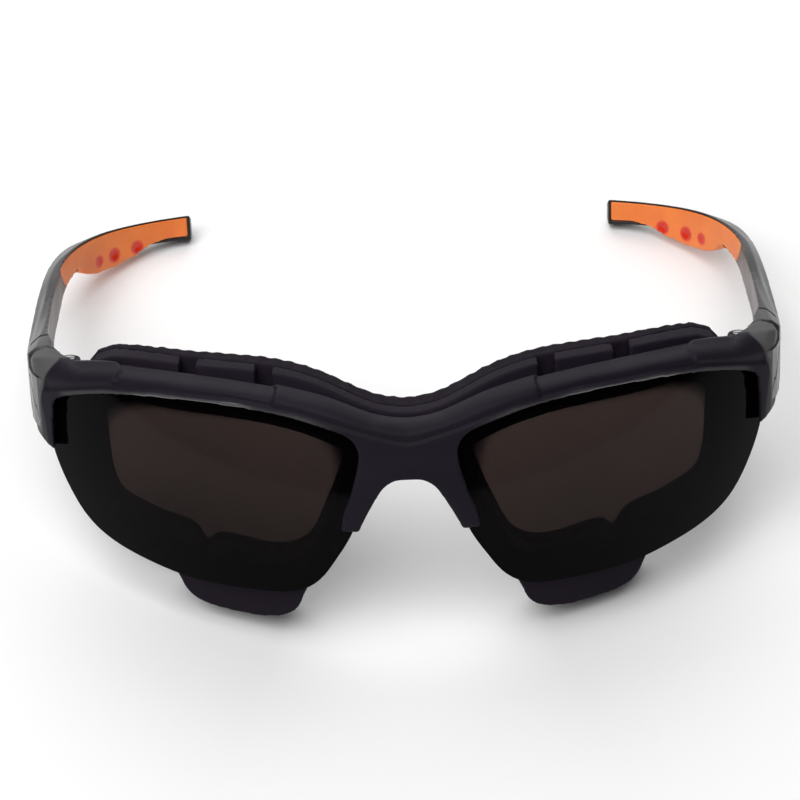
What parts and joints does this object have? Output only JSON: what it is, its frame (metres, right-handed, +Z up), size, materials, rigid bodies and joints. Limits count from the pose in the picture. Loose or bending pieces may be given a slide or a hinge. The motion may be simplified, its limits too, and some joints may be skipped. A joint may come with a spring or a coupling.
{
  "type": "welding goggles",
  "caption": "Wraparound welding goggles with dark lenses, a vented foam face gasket and folding arms with soft ear pads.",
  "frame": {"origin": "centre of the footprint, on the table that the goggles rest on, leaned back on their cheek lobes and ear tips", "axes": "+Z up from the table, +X to the right seen from the front, +Y from the lenses to the ear tips"},
  "size_m": [0.1614, 0.1456, 0.0555],
  "materials": {
    "frame_plastic": "dark violet-black moulded plastic, satin",
    "arm_plastic": "dark grey moulded plastic, satin",
    "plate_plastic": "dark grey moulded plastic with slots",
    "carrier_rubber": "black thermoplastic rubber, matt",
    "foam": "black closed-cell foam",
    "tinted_lens": "very dark infrared-filter polycarbonate, polished",
    "pad_rubber": "orange soft rubber",
    "screw_steel": "bright steel",
    "brass": "turned brass",
    "washer_plastic": "white acetal"
  },
  "bodies": {
    "front": {"front_frame": "frame_plastic", "gasket_carrier": "carrier_rubber", "foam_gasket": "foam", "lens_right": "tinted_lens", "lens_left": "tinted_lens", "end_plate_right": "plate_plastic", "end_plate_left": "plate_plastic", "hinge_screw_right": "screw_steel", "hinge_screw_left": "screw_steel", "hinge_nut_right": "brass", "hinge_nut_left": "brass", "hinge_washer_right": "washer_plastic", "hinge_washer_left": "washer_plastic"},
    "arm_right": {"hinge_bush_right": "brass", "temple_root_right": "frame_plastic", "temple_arm_right": "arm_plastic", "temple_pad_right": "pad_rubber"},
    "arm_left": {"hinge_bush_left": "brass", "temple_root_left": "frame_plastic", "temple_arm_left": "arm_plastic", "temple_pad_left": "pad_rubber"}
  },
  "joints": [
    {"name": "right_hinge", "type": "hinge", "parent": "front", "child": "arm_right", "pos_m": [0.0698, -0.02316, 0.03034], "axis": [0, 0.3437, 0.9391], "range_deg": [0, 70]},
    {"name": "left_hinge", "type": "hinge", "parent": "front", "child": "arm_left", "pos_m": [-0.0698, -0.02316, 0.03034], "axis": [0, -0.3437, -0.9391], "range_deg": [0, 90]}
  ]
}
